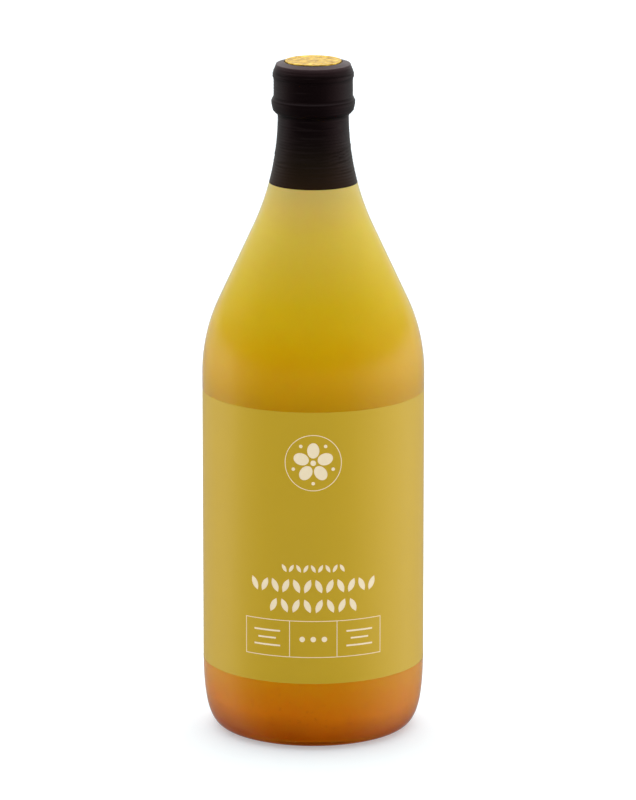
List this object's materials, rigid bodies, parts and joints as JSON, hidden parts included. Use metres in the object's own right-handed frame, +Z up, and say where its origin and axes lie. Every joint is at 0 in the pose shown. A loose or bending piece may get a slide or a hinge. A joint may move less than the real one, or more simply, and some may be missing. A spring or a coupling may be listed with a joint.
{
  "type": "vinegar bottle",
  "caption": "Full, shut glass bottle of cloudy golden vinegar: straight body, long sloping shoulder, plain wrap label, and a gold cap under a black shrink sleeve.",
  "frame": {"origin": "middle of the base, on the surface that the bottle stands on", "axes": "+Z up along the bottle's axis of turning, front of the label towards -Y, +X to the right"},
  "size_m": [0.0886, 0.0886, 0.2711],
  "materials": {
    "glass": "clear, gloss",
    "vinegar": "cloudy golden liquid, amber lower down",
    "label_paper": "satin coated paper with cream print",
    "gold": "gold lacquer, finely embossed",
    "black_film": "satin shrink film"
  },
  "bodies": {
    "root": {"bottle": "glass", "vinegar": "vinegar", "label": "label_paper", "cap": "gold", "sleeve": "black_film"}
  },
  "joints": []
}
